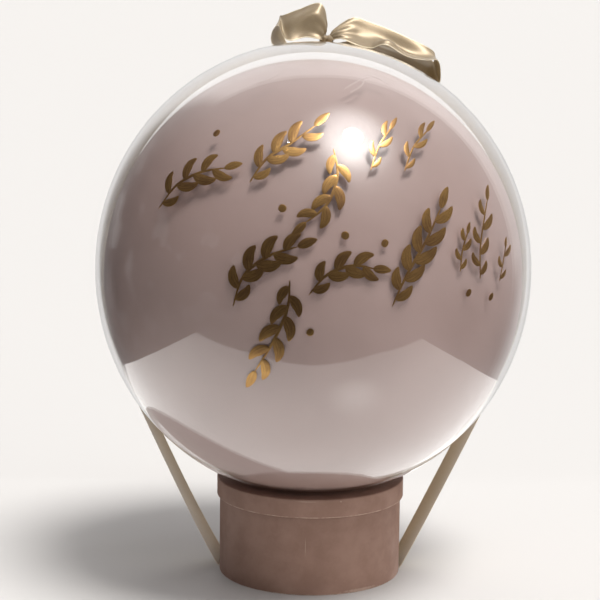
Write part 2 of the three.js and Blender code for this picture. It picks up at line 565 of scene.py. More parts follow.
@dataclass(frozen=True)
class LatexFinish:
    """Opaque mauve-taupe latex, glossy, and a little cloudy where it is stretched unevenly.

    Args:
        colour: Its colour where it is stretched most.
        deep: Its colour where it is stretched least.
        clouds: How many cloudy patches a metre has.
        smears: How many duller patches a metre has.
        dimples: How many shallow dimples a metre has.
        dimple_depth: How deep they are.
        roughness: The glossiest and the dullest roughness.
        refraction: What its shine is worked out from.
    """

    colour: Colour = (0.35, 0.258, 0.24)
    deep: Colour = (0.31, 0.226, 0.209)
    clouds: float = 7.0
    smears: float = 26.0
    dimples: float = 38.0
    dimple_depth: float = 0.1 * MM
    roughness: tuple[float, float] = (0.36, 0.44)
    refraction: float = 1.6

    def build(self) -> Material:
        """Makes the material.

        Returns:
            The material.
        """
        shader = Shader("inner_latex")
        place = shader.place()
        clouds = shader.ramp(shader.noise(place, self.clouds, 3.0), 0.35, 0.7)
        smears = shader.noise(place, self.smears, 4.0)
        shader.plain(
            Base_Color=shader.blend(clouds, self.colour, self.deep),
            Roughness=shader.ramp(smears, 0.3, 0.75, *self.roughness),
            IOR=self.refraction,
        )
        shader.bump(shader.noise(place, self.dimples, 2.0), self.dimple_depth, 0.25)
        return shader.material


@dataclass(frozen=True)
class PaleMark:
    """A pale mark on the paper, with a torn edge, used both for rubbed paper and for a painted highlight.

    Args:
        centre: Its middle.
        size: Half its length along each axis.
        strength: How pale it is in the middle.
        tears: How many tears its edge has in a metre.
    """

    centre: Vector
    size: Vector
    strength: float
    tears: float = 300.0

    def paleness(self, shader: Shader, place: Socket) -> Socket:
        """Adds the mark to a material.

        Args:
            shader: The material.
            place: The coordinates.

        Returns:
            How pale the paper is.
        """
        scale = [1 / length for length in self.size]
        shift = [-middle / length for middle, length in zip(self.centre, self.size)]
        away = shader.vector_calc("LENGTH", shader.stretched(place, scale, shift))
        torn = shader.calc("MULTIPLY_ADD", shader.noise(place, self.tears, 4.0, 0.7), 0.9, away)
        return shader.ramp(torn, 0.75, 1.35, self.strength, 0.0)


@dataclass(frozen=True)
class CardFinish:
    """Dusty rose-brown paper over board, with a worn edge and a few pale marks, one of them a painted
    highlight.

    Args:
        name: The material's name.
        worn_height: The height of the edge that is worn.
        pale_marks: Its pale marks: creases, nicks and rubbed spots, and a painted highlight along the lid's
            rim.
        colour: The paper's colour.
        deep: Its colour in the darker patches.
        worn: Its colour where it is worn, and in the painted highlight.
        patches: How many patches a metre has.
        grains: How many grains a metre has.
        fibres: How many fibres a metre has along each axis.
        chips: How many chips the worn edge has in a metre.
        roughness: Its roughness in the paler and in the darker patches.
        relief: How deep the grain is.
    """

    name: str
    worn_height: float
    pale_marks: tuple[PaleMark, ...]
    colour: Colour = (0.33, 0.203, 0.155)
    deep: Colour = (0.27, 0.162, 0.122)
    worn: Colour = (0.56, 0.43, 0.35)
    patches: float = 34.0
    grains: float = 900.0
    fibres: Triple = (240.0, 240.0, 1100.0)
    chips: float = 160.0
    roughness: tuple[float, float] = (0.62, 0.78)
    relief: float = 0.05 * MM

    def build(self) -> Material:
        """Makes the material.

        Returns:
            The material.
        """
        shader = Shader(self.name)
        place = shader.place()
        patches = shader.noise(place, self.patches, 6.0, 0.6)
        grain = shader.noise(place, self.grains, 3.0, 0.6)
        fibre = shader.noise(shader.stretched(place, self.fibres), 1.0, 3.0)
        wear_and_highlight = self.edge_wear(shader, place)
        # Pale marks on top: creases, nicks and rubbed spots, and on the lid a painted highlight along the rim
        for pale_mark in self.pale_marks:
            wear_and_highlight = shader.calc("MAXIMUM", wear_and_highlight, pale_mark.paleness(shader, place))
        paper = shader.blend(shader.ramp(patches, 0.3, 0.7), self.colour, self.deep)
        # Worn paper and the painted highlight both take the worn colour
        shader.plain(
            Base_Color=shader.blend(wear_and_highlight, paper, self.worn),
            Roughness=shader.ramp(patches, 0.3, 0.7, *self.roughness),
            IOR=1.45,
        )
        shader.bump(shader.calc("MULTIPLY_ADD", fibre, 0.6, grain), self.relief, 0.7)
        return shader.material

    def edge_wear(self, shader: Shader, place: Socket) -> Socket:
        """Adds the chips along the worn edge.

        Args:
            shader: The material.
            place: The coordinates.

        Returns:
            How worn the paper is.
        """
        height = shader.split(place)[2]
        away = shader.calc("ABSOLUTE", shader.calc("SUBTRACT", height, self.worn_height))
        near = shader.ramp(away, 0.35 * MM, 1.1 * MM, 1.0, 0.0)
        chips = shader.ramp(shader.noise(place, self.chips, 5.0, 0.7), 0.36, 0.6)
        return shader.calc("MULTIPLY", near, chips)


@dataclass(frozen=True)
class SatinFinish:
    """Champagne-gold satin: a fine warp that catches the light, and a firm woven edge on each side.

    Args:
        width: The ribbon's width.
        name: The material's name.
        colour: The threads' colour.
        shade: The colour between them.
        metal: How much of their shine is coloured, as a metal's is.
        roughness: Their roughness.
        sheen: How pale the ribbon is where it is seen along its surface.
        edge: The woven edge's width.
        edge_colour: Its colour.
        edge_dulling: How much rougher it is.
        warp: How many threads a metre has across and along, for those that run along the ribbon.
        weft: The same for those that run across it.
        glow: How much light comes through the ribbon.
        glow_colour: How far each colour of it spreads.
        glow_depth: How far it spreads.
        thread_depth: How deep the threads' relief is.
        edge_depth: How far the woven edge stands out.
    """

    width: float
    name: str = "satin"
    colour: Colour = (0.59, 0.47, 0.32)
    shade: Colour = (0.48, 0.37, 0.24)
    metal: float = 0.3
    roughness: float = 0.4
    sheen: float = 0.6
    edge: float = 1.4 * MM
    edge_colour: Colour = (0.78, 0.68, 0.5)
    edge_dulling: float = 0.1
    warp: Triple = (5200.0, 260.0, 1.0)
    weft: Triple = (300.0, 2600.0, 1.0)
    glow: float = 0.45
    glow_colour: Colour = (1.0, 0.85, 0.65)
    glow_depth: float = 3 * MM
    thread_depth: float = 0.03 * MM
    edge_depth: float = 0.12 * MM

    def build(self) -> Material:
        """Makes the material.

        Returns:
            The material.
        """
        shader = Shader(self.name)
        run = shader.run(RIBBON_RUN)
        across = shader.split(run)[0]
        warp = shader.noise(shader.stretched(run, self.warp), 1.0, 2.0)
        weft = shader.noise(shader.stretched(run, self.weft), 1.0, 2.0)
        from_side = shader.calc("MINIMUM", across, shader.calc("SUBTRACT", self.width, across))
        selvedge = shader.ramp(from_side, 0.6 * self.edge, self.edge, 1.0, 0.0)
        tone = shader.blend(shader.ramp(warp, 0.3, 0.7), self.colour, self.shade)
        edge_roughness = self.roughness + self.edge_dulling
        shader.plain(
            Base_Color=shader.blend(shader.calc("MULTIPLY", selvedge, 0.85), tone, self.edge_colour),
            Metallic=self.metal,
            Roughness=shader.ramp(selvedge, 0.0, 1.0, self.roughness, edge_roughness),
            IOR=1.5,
            Sheen_Weight=self.sheen,
            Sheen_Roughness=0.4,
            Subsurface_Weight=self.glow,
            Subsurface_Radius=self.glow_colour,
            Subsurface_Scale=self.glow_depth,
            Anisotropic=0.5,
        )
        shader.bump(shader.calc("MULTIPLY_ADD", weft, 0.5, warp), self.thread_depth, 0.45)
        shader.bump(selvedge, self.edge_depth, 0.8)
        return shader.material


@dataclass(frozen=True)
class GoldFinish:
    """Gold paint laid on with a brush: streaks along it, thin and brown where it ran out.

    Args:
        colour: Its colour where it is thick.
        thin: Its colour where it is thin.
        streaks: How many streaks a metre has across and along.
        pools: How many thicker pools a metre has.
        roughness: Its roughness where it is thin and where it is thick.
        relief: How deep the streaks are.
    """

    colour: Colour = (0.62, 0.37, 0.13)
    thin: Colour = (0.2, 0.105, 0.055)
    streaks: Triple = (1500.0, 60.0, 1.0)
    pools: float = 45.0
    roughness: tuple[float, float] = (0.42, 0.26)
    relief: float = 0.06 * MM

    def build(self) -> Material:
        """Makes the material.

        Returns:
            The material.
        """
        shader = Shader("gold_paint")
        streaks = shader.noise(shader.stretched(shader.run(STROKE_RUN), self.streaks), 1.0, 4.0, 0.65)
        pools = shader.noise(shader.place(), self.pools, 3.0)
        cover = shader.calc("MULTIPLY_ADD", pools, 0.5, streaks)
        shader.plain(
            Base_Color=shader.blend(shader.ramp(cover, 0.5, 1.0), self.thin, self.colour),
            Metallic=0.95,
            Roughness=shader.ramp(cover, 0.5, 1.0, *self.roughness),
        )
        shader.bump(streaks, self.relief, 0.6)
        return shader.material


# Camera


@dataclass(frozen=True)
class ViewPoint:
    """The photograph's viewing angle, fitted to the box's ellipses and the balloon's outline.

    Args:
        distance: How far in front of the box's middle it was taken from.
        height: How high it was taken from.
        pitch: How far the camera looks down, in degrees.
        yaw: How far it looks to the right, in degrees.
        roll: How far it is tilted, in degrees.
        lens: The lens's focal length in millimetres.
        sensor: The sensor's width in millimetres.
    """

    distance: float = 2.2
    height: float = 0.702
    pitch: float = 10.49
    yaw: float = -0.35
    roll: float = -0.73
    lens: float = 126.6
    sensor: float = 36.0

    def build(self) -> None:
        """Adds the camera and makes it the scene's own."""
        data = bpy.data.cameras.new("view")
        data.lens = self.lens
        data.sensor_width = self.sensor
        data.dof.use_dof = False
        camera = bpy.data.objects.new("view", data)
        bpy.context.scene.collection.objects.link(camera)
        pitch, yaw, roll = (math.radians(angle) for angle in (self.pitch, self.yaw, self.roll))
        level_right = Vector((math.cos(yaw), -math.sin(yaw), 0.0))
        ahead = Vector((math.sin(yaw), math.cos(yaw), 0.0))
        forward = ahead * math.cos(pitch) - UP * math.sin(pitch)
        level_up = ahead * math.sin(pitch) + UP * math.cos(pitch)
        right = level_right * math.cos(roll) - level_up * math.sin(roll)
        up = level_right * math.sin(roll) + level_up * math.cos(roll)
        turn = Matrix((right, up, -forward)).transposed().to_4x4()
        camera.matrix_world = Matrix.Translation((0.0, -self.distance, self.height)) @ turn
        bpy.context.scene.camera = camera


# Balloon


@dataclass(frozen=True)
class Spheroid:
    """An upright spheroid, pressed flat underneath.

    Args:
        centre: Its middle before it is pressed.
        radius: Its radius seen from above.
        half_height: Half its height before it is pressed.
        floor: The height of its flat underside.
        settling: The depth over which the flat turns into the round.
    """

    centre: Vector
    radius: float
    half_height: float
    floor: float
    settling: float

    def front(self, x: float, z: float) -> Vector:
        """Finds the place on the front for a place in the front view.

        Args:
            x: How far to the right it is.
            z: How high it is.

        Returns:
            The place.
        """
        across = (x - self.centre.x) / self.radius
        up = (z - self.centre.z) / self.half_height
        depth = self.radius * math.sqrt(max(0.0, 1.0 - across * across - up * up))
        return Vector((x, self.centre.y - depth, z))

    def normal(self, place: Vector) -> Vector:
        """Returns the outward direction at a place on the surface."""
        away = place - self.centre
        steep, tall = self.radius**2, self.half_height**2
        return Vector((away.x / steep, away.y / steep, away.z / tall)).normalized()

    def top(self, x: float, y: float, clearance: float) -> float:
        """Finds the height of the upper surface over a place in plan.

        Args:
            x: How far to the right the place is.
            y: How far back it is.
            clearance: How far outside the surface it is measured.

        Returns:
            The height.
        """
        radius, half_height = self.radius + clearance, self.half_height + clearance
        out = ((x - self.centre.x) ** 2 + (y - self.centre.y) ** 2) / radius**2
        return self.centre.z + half_height * math.sqrt(max(0.0, 1.0 - out))

    def settled(self, height: float) -> float:
        """Lifts a height to the flat underside, with a soft turn.

        Args:
            height: The height on the full spheroid.

        Returns:
            The height once it is pressed.
        """
        above = height - self.floor
        if above >= self.settling:
            return height
        rise = max(0.0, above + self.settling)
        return self.floor + rise * rise / (4 * self.settling)

    def build(self, name: str, segments: int, rings: int) -> Object:
        """Adds the spheroid as a closed mesh.

        Args:
            name: The object's name.
            segments: How many faces go round it.
            rings: How many faces go from its bottom to its top.

        Returns:
            The new object.
        """
        add = bpy.ops.mesh.primitive_uv_sphere_add
        obj = add_primitive(name, add, self.centre, segments=segments, ring_count=rings, radius=self.radius)
        edit(obj, everything=True)
        bpy.ops.transform.resize(value=(1.0, 1.0, self.half_height / self.radius))
        close_edit()
        settle_place(obj)
        for vertex in obj.data.vertices:
            vertex.co.z = self.settled(vertex.co.z)
        smooth(obj)
        return obj


@dataclass
class BubbleBalloon:
    """The clear film and the opaque balloon sealed inside it.

    Args:
        pressed_depth: How far the balloon's underside is pressed in by the lid.
        settling: The depth over which the flat turns into the round.
        film_thickness: The film's thickness.
        inner_radius: The inner balloon's radius seen from above.
        inner_half_height: Half its height before it is pressed.
        inner_forward: How far in front of the film's middle it lies.
        inner_drop: How far below the film's middle it lies.
        segments: How many faces go round each balloon.
        rings: How many faces go from its bottom to its top.
        outer: The film's shape, worked out from the frame.
        inner: The inner balloon's shape.
    """

    pressed_depth: float = 16 * MM
    settling: float = 10 * MM
    film_thickness: float = 0.25 * MM
    inner_radius: float = 219.6 * MM
    inner_half_height: float = 227.2 * MM
    inner_forward: float = 7.8 * MM
    inner_drop: float = 5.9 * MM
    segments: int = 192
    rings: int = 128
    outer: Spheroid = field(init=False)
    inner: Spheroid = field(init=False)

    def __post_init__(self) -> None:
        """Works the two spheroids out from the frame."""
        low, high = (Vector(corner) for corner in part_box("bubble_balloon"))
        half_height = (high.z - low.z + self.pressed_depth) / 2
        centre = Vector((0.0, 0.0, high.z - half_height))
        self.outer = Spheroid(centre, (high.x - low.x) / 2, half_height, low.z, self.settling)
        inner_centre = centre + Vector((0.0, -self.inner_forward, -self.inner_drop))
        floor = low.z + 2 * self.film_thickness
        self.inner = Spheroid(inner_centre, self.inner_radius, self.inner_half_height, floor, self.settling)

    def build(self) -> None:
        """Makes the film and the balloon inside it."""
        film = self.outer.build("clear_bubble", self.segments, self.rings)
        thicken(film, self.film_thickness, -1.0)
        smooth(film, 60)
        hand_over(film, FilmFinish().build(), Slot.FILM, ["bubble_balloon"])
        hide_from(film, "shadow", "diffuse", "glossy")
        inner = self.inner.build("inner_balloon", self.segments, self.rings)
        hand_over(inner, LatexFinish().build(), Slot.LATEX)


# Brush strokes


class Hand(Enum):
    """How a stroke is drawn."""

    LEAF = "leaf"
    STEM = "stem"
    DOT = "dot"


@dataclass(frozen=True)
class Stroke:
    """One stroke of the brush, placed in the front view in millimetres from the balloon's middle.

    Args:
        hand: How it is drawn.
        wide: Its greatest width in millimetres.
        points: Where the brush passes.
    """

    hand: Hand
    wide: float
    points: tuple[PlanePoint, ...]


@dataclass(frozen=True)
class Sprig:
    """A stem with leaves on its two sides in turn, in millimetres.

    Args:
        stem: What the stem passes through.
        leaves: How many leaves it has beside the one at its end.
        leaf_length: The longest leaf's length.
        leaf_width: The widest leaf's width.
        stem_width: The stem's width.
        spread: The angle between a leaf and the stem, in degrees.
        bends: Shares of a leaf's length, and the share of its angle that it has there.
        first_leaf: How far along the stem the lowest leaf is, as a share.
        leafy: The share of the stem that has leaves.
        smallest: The size of the smallest leaves beside it, as a share of the largest.
        tip_size: The size of the leaf at its end.
        tip_turn: The angle between that leaf and the stem, in degrees.
        tip_inset: How far before the stem's end that leaf starts.
    """

    stem: tuple[PlanePoint, ...]
    leaves: int
    leaf_length: float
    leaf_width: float
    stem_width: float = 3.2
    spread: float = 48.0
    bends: tuple[PlanePoint, ...] = ((0.34, 1.0), (0.68, 0.82), (1.0, 0.6))
    first_leaf: float = 0.1
    leafy: float = 0.82
    smallest: float = 0.72
    tip_size: float = 0.8
    tip_turn: float = 8.0
    tip_inset: float = 3.0

    def leaf(self, root: Vector, way: Vector, turn: float, size: float) -> Stroke:
        """Draws one leaf, which bends back towards the stem.

        Args:
            root: Where it starts.
            way: The stem's direction there.
            turn: The angle between the leaf and the stem, in radians.
            size: Its size as a share of the largest one.

        Returns:
            Its stroke.
        """
        spots = [root]
        for reach, bend in self.bends:
            spots.append(root + Matrix.Rotation(turn * bend, 2) @ way * (self.leaf_length * size * reach))
        return Stroke(Hand.LEAF, self.leaf_width * size, tuple((spot.x, spot.y) for spot in spots))

    def strokes(self) -> list[Stroke]:
        """Draws the stem, the leaves beside it and the leaf at its end.

        Returns:
            Their strokes.
        """
        plane = [Vector(spot) for spot in self.stem]
        drawn = [Stroke(Hand.STEM, self.stem_width, self.stem)]
        for i in range(self.leaves):
            share = self.first_leaf + self.leafy * i / self.leaves
            root = on_curve(plane, share)
            way = (on_curve(plane, share + 0.03) - root).normalized()
            turn = math.radians(self.spread) * (1 if i % 2 else -1)
            size = self.smallest + (1 - self.smallest) * math.sin(math.pi * share)
            drawn.append(self.leaf(root, way, turn, size))
        tip = plane[-1]
        way = (tip - on_curve(plane, 0.96)).normalized()
        drawn.append(self.leaf(tip - way * self.tip_inset, way, math.radians(self.tip_turn), self.tip_size))
        return drawn


@dataclass
class BrushWork:
    """Rows of gold strokes on the film: leafy sprigs and berries.

    Args:
        film: What the strokes are laid on.
        lift: How far a stroke's edge stands off the film.
        bulge: How much further the middle of a wide stroke stands off it.
        wide_half: Half the width from which a stroke bulges fully.
        thickness: The paint's thickness.
        hairline: A stem's width in millimetres where the brush hardly presses.
        steps: How many rows of faces a stroke has.
        cross_steps: How many faces a row has.
        piece: The piece's name.
        slot: Its material slot.
        points: The vertices so far.
        faces: The faces so far.
        runs: How far across and along its stroke each vertex is.
    """

    film: Spheroid
    lift: float = 0.15 * MM
    bulge: float = 0.2 * MM
    wide_half: float = 3 * MM
    thickness: float = 0.22 * MM
    hairline: float = 1.4
    steps: int = 18
    cross_steps: int = 6
    piece: str = "gold_strokes"
    slot: Slot = Slot.GOLD
    points: list[Vector] = field(default_factory=list)
    faces: list[tuple[int, ...]] = field(default_factory=list)
    runs: list[PlanePoint] = field(default_factory=list)

    def strokes(self) -> list[Stroke]:
        """Draws every sprig and berry, row by row.

        Returns:
            Their strokes.
        """
        sprigs = (
            Sprig(((-152, 84), (-134, 108), (-110, 122), (-84, 128)), 7, 23, 10.5),
            Sprig(((-62, 116), (-46, 138), (-24, 152), (2, 170)), 7, 23, 10.5),
            Sprig(((18, 148), (22, 124), (12, 98), (-10, 80)), 7, 22, 10),
            Sprig(((54, 129), (62, 150), (75, 167)), 4, 15, 6, 1.8),
            Sprig(((87, 127), (96, 148), (112, 163)), 4, 15, 6, 1.8),
            Sprig(((-76, 0), (-66, 30), (-42, 50), (-12, 60)), 8, 25, 11.5),
            Sprig(((-4, 14), (14, 34), (38, 42), (60, 38)), 7, 22, 10.5),
            Sprig(((76, 2), (90, 32), (108, 62), (124, 94)), 9, 25, 11.5),
            Sprig(((-22, 28), (-24, 0), (-38, -34), (-56, -66)), 8, 25, 11),
            Sprig(((143, 30), (145, 50), (151, 68)), 4, 13, 6, 1.6),
            Sprig(((164, 20), (164, 54), (172, 96)), 6, 17, 8, 2.0),
            Sprig(((185, 14), (189, 32), (192, 48)), 3, 12, 6, 1.6),
        )
        berries = (
            (-96, 158, 7),
            (-30, 94, 8),
            (30, 70, 8),
            (-2, -22, 7),
            (68, 62, 7),
            (152, 8, 6),
            (176, 0, 6),
        )
        drawn = [stroke for sprig in sprigs for stroke in sprig.strokes()]
        drawn += [Stroke(Hand.DOT, wide, ((x - 2, z - 3), (x + 2, z + 3))) for x, z, wide in berries]
        return drawn

    def width_at(self, stroke: Stroke, share: float) -> float:
        """Works out how wide the brush is.

        Args:
            stroke: The stroke that is drawn.
            share: How far along it the brush is.

        Returns:
            Half its width in metres.
        """
        if stroke.hand is Hand.LEAF:
            full = math.sin(math.pi * share**0.85) ** 0.8
            return (0.3 + (stroke.wide - 0.3) * full) / 2 * MM
        if stroke.hand is Hand.DOT:
            return stroke.wide / 2 * math.sin(math.pi * (0.04 + 0.92 * share)) ** 0.6 * MM
        ends = min(1.0, share / 0.05, (1.0 - share) / 0.1)
        press = 0.5 - 0.5 * math.cos(2 * math.pi * share)
        return (self.hairline + (stroke.wide - self.hairline) * press) / 2 * max(0.3, ends) * MM

    def lay(self, stroke: Stroke) -> None:
        """Adds one stroke's vertices and faces.

        Args:
            stroke: The stroke to lay on the film.
        """
        plane = [Vector((x * MM, z * MM)) for x, z in stroke.points]
        route = [on_curve(plane, i / self.steps) for i in range(self.steps + 1)]
        middle = self.film.centre
        first = len(self.points)
        travelled = 0.0
        for i, spot in enumerate(route):
            ahead = route[min(i + 1, self.steps)] - route[max(i - 1, 0)]
            place = self.film.front(middle.x + spot.x, middle.z + spot.y)
            beyond = self.film.front(middle.x + spot.x + ahead.x, middle.z + spot.y + ahead.y)
            normal = self.film.normal(place)
            side = normal.cross((beyond - place).normalized()).normalized()
            half = self.width_at(stroke, i / self.steps)
            fullness = min(1.0, half / self.wide_half)
            for j in range(self.cross_steps + 1):
                across = 2 * j / self.cross_steps - 1
                rise = self.lift + self.bulge * (1 - across * across) * fullness
                self.points.append(place + side * (half * across) + normal * rise)
                self.runs.append((half * across, travelled))
            travelled += (beyond - place).length / 2
        row = self.cross_steps + 1
        for i in range(self.steps):
            for j in range(self.cross_steps):
                corner = first + i * row + j
                self.faces.append((corner, corner + 1, corner + row + 1, corner + row))

    def finish(self) -> Material:
        """Returns the strokes' material."""
        return GoldFinish().build()

    def build(self) -> None:
        """Makes every stroke, as one piece."""
        for stroke in self.strokes():
            self.lay(stroke)
        obj = add_mesh(self.piece, self.points, self.faces)
        map_run(obj, STROKE_RUN, self.runs)
        thicken(obj, self.thickness, -1.0)
        edit(obj, everything=True)
        bpy.ops.mesh.normals_make_consistent(inside=False)
        close_edit()
        smooth(obj, 50)
        hand_over(obj, self.finish(), self.slot)


@dataclass
class FilmCreases(BrushWork):
    """Fine creases where the film is drawn in under the ribbon."""

    piece: str = "film_creases"
    slot: Slot = Slot.FILM

    def strokes(self) -> list[Stroke]:
        """Draws the creases, each as a narrow ridge.

        Returns:
            Their strokes.
        """
        routes = (
            ((28, 201), (38, 206), (48, 210), (56, 212)),
            ((56, 212), (64, 209), (73, 204)),
            ((34, 198), (44, 203), (50, 209)),
            ((-58, 205), (-47, 208), (-36, 214)),
        )
        return [Stroke(Hand.STEM, 1.5, route) for route in routes]

    def finish(self) -> Material:
        """Returns the film's own material."""
        return FilmFinish().build()


# Hat box


@dataclass
class HatBox:
    """The round box: a base of board with a paper cover, and a lid that slides over it.

    Args:
        board: The board's thickness.
        segments: How many faces go round it.
        lid_edge: How far the lid's top edge is rounded.
        wall_edge: How far the other edges are rounded.
        near_edge: How close to an edge's height a place has to be to count as on it.
        near_wall: How close to the wall's radius it has to be to count as on the wall.
        level_within: How much higher one end of a level edge may be than the other.
        sharp_turn: How far two faces turn at a sharp edge, in radians.
        lap_turn: Where the cover's ends overlap, as an angle from the right.
        lap_width: The overlap's width.
        lap_proud: How far it stands out.
        base_low: The base's low corner in the frame.
        base_high: Its high corner.
        lid_low: The lid's low corner in the frame.
        lid_high: Its high corner.
    """

    board: float = 2 * MM
    segments: int = 160
    lid_edge: float = 1.5 * MM
    wall_edge: float = 0.5 * MM
    near_edge: float = 0.2 * MM
    near_wall: float = 0.3 * MM
    level_within: float = 0.001 * MM
    sharp_turn: float = 0.5
    lap_turn: float = math.radians(112)
    lap_width: float = 16 * MM
    lap_proud: float = 0.25 * MM
    base_low: Vector = field(init=False)
    base_high: Vector = field(init=False)
    lid_low: Vector = field(init=False)
    lid_high: Vector = field(init=False)

    def __post_init__(self) -> None:
        """Reads the two pieces' boxes from the frame."""
        self.base_low, self.base_high = (Vector(corner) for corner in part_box("box_base"))
        self.lid_low, self.lid_high = (Vector(corner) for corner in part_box("box_lid"))

    def drum(self, name: str, radius: float, low: float, high: float) -> Object:
        """Adds a plain drum to start from.

        Args:
            name: The object's name.
            radius: Its radius.
            low: The height of its underside.
            high: The height of its top.

        Returns:
            The new object.
        """
        obj = add_primitive(
            name,
            bpy.ops.mesh.primitive_cylinder_add,
            (0.0, 0.0, (low + high) / 2),
            vertices=self.segments,
            radius=radius,
            depth=high - low,
            end_fill_type="NGON",
        )
        settle_place(obj)
        return obj

    def hollow(self, obj: Object, facing: float, floor: float) -> None:
        """Cuts the inside out of a drum, from its top or from its underside.

        Args:
            obj: The drum.
            facing: 1 to cut from the top, and -1 from the underside.
            floor: The height that the inside reaches.
        """
        edit(obj)
        select_faces(obj, lambda face: face.normal.z * facing > LOOKS_UP)
        bpy.ops.mesh.inset(thickness=self.board, depth=0.0)
        mesh = bmesh.from_edit_mesh(obj.data)
        start = next(face for face in mesh.faces if face.select).calc_center_median().z
        bpy.ops.mesh.extrude_region_move(TRANSFORM_OT_translate={"value": (0.0, 0.0, floor - start)})
        close_edit()

    def soften(self, obj: Object, width: float, edge_at: Callable[[Vector], bool], segments: int = 3) -> None:
        """Rounds the level, sharp edges for which edge_at is true.

        Args:
            obj: The object.
            width: How far the rounding reaches.
            edge_at: The test on an edge's middle.
            segments: How many steps the rounding has.
        """
        mesh = edit(obj)
        bpy.ops.mesh.select_mode(type="EDGE")
        for edge in mesh.edges:
            start, end = (vertex.co for vertex in edge.verts)
            level = abs(start.z - end.z) < self.level_within
            sharp = len(edge.link_faces) == 2 and edge.calc_face_angle(0.0) > self.sharp_turn
            if level and sharp and edge_at((start + end) / 2):
                edge.select_set(True)
        bmesh.update_edit_mesh(obj.data)
        bpy.ops.mesh.bevel(offset=width, segments=segments, affect="EDGES")
        close_edit()

    def add_lap(self, obj: Object, radius: float) -> None:
        """Raises the strip at the back where the cover's two ends overlap.

        Args:
            obj: The base or the lid.
            radius: The radius of its wall.
        """
        middle = Vector((math.cos(self.lap_turn), math.sin(self.lap_turn))) * radius

        def on_lap(face: bmesh.types.BMFace) -> bool:
            """Tells whether a face of the wall lies under the overlap."""
            centre = face.calc_center_median().xy
            on_wall = centre.length > radius - self.near_wall and abs(face.normal.z) < UPRIGHT
            return on_wall and (centre - middle).length < self.lap_width / 2

        edit(obj)
        select_faces(obj, on_lap)
        bpy.ops.mesh.extrude_region_shrink_fatten(TRANSFORM_OT_shrink_fatten={"value": self.lap_proud})
        close_edit()

    def base(self) -> Object:
        """Makes the base, open at the top.

        Returns:
            The base.
        """
        radius = self.base_high.x
        obj = self.drum("hat_box_base", radius, self.base_low.z, self.base_high.z)
        self.hollow(obj, 1.0, self.base_low.z + self.board)
        inside = radius - self.board - self.wall_edge
        self.soften(obj, self.wall_edge, lambda middle: middle.xy.length > inside)
        self.add_lap(obj, radius)
        smooth(obj, 35)
        return obj

    def lid(self) -> Object:
        """Makes the lid, with a rounded top and the cover turned in under its rim.

        Returns:
            The lid.
        """
        radius, low, high = self.lid_high.x, self.lid_low.z, self.lid_high.z
        obj = self.drum("hat_box_lid", radius, low, high)
        self.hollow(obj, -1.0, high - self.board)
        self.soften(obj, self.lid_edge, lambda middle: middle.z > high - self.near_edge, 5)
        self.soften(obj, self.wall_edge, lambda middle: middle.z < low + self.near_edge)
        self.add_lap(obj, radius)
        smooth(obj, 35)
        return obj

    def build(self) -> None:
        """Makes and dresses the base and the lid."""
        wall, rim, top = self.base_high.x, self.lid_high.x, self.lid_high.z
        crease = PaleMark(Vector((-0.004, -wall, 0.052)), Vector((0.7 * MM, 8 * MM, 13 * MM)), 0.4)
        foot_rub = PaleMark(Vector((0.052, -0.8 * wall, 0.002)), Vector((30 * MM, 30 * MM, 2.4 * MM)), 0.5)
        # A painted highlight along the front of the lid's top edge, laid on as a pale mark
        painted_rim_highlight = PaleMark(Vector((-0.004, -rim, top - 2.4 * MM)), Vector((15 * MM, 6 * MM, 0.8 * MM)), 0.5)
        nick_place = Vector((0.032, -0.95 * rim, top - 3 * MM))
        rim_nick = PaleMark(nick_place, Vector((1.4 * MM, 8 * MM, 1.2 * MM)), 0.6)
        base_card = CardFinish("base_paper", self.base_low.z, (crease, foot_rub))
        lid_card = CardFinish("lid_paper", self.lid_low.z, (painted_rim_highlight, rim_nick))
        hand_over(self.base(), base_card.build(), Slot.CARD, ["box_base"])
        hand_over(self.lid(), lid_card.build(), Slot.CARD, ["box_lid"])


# Ribbon


@dataclass(frozen=True)
class Rib:
    """One thread of the ribbon, from the foot of the wall to where it meets the balloon.

    Args:
        foot: Where it starts, on the right.
        touch: The angle at which it meets the film.
        back: How far back its plane is at the floor.
        half_width: Half the width of the film's section in its plane.
        middle: The section's middle, measured up the plane.
        half_run: Half the section's height, measured up the plane.
        lean: The plane's lean in radians.
    """

    foot: Vector
    touch: float
    back: float
    half_width: float
    middle: float
    half_run: float
    lean: float

    def on_film(self, angle: float) -> Vector:
        """Finds a place on the film.

        Args:
            angle: How far round the section it is, in radians from the right.

        Returns:
            The place.
        """
        run = self.middle + self.half_run * math.sin(angle)
        across = self.half_width * math.cos(angle)
        return Vector((across, self.back + run * math.sin(self.lean), run * math.cos(self.lean)))


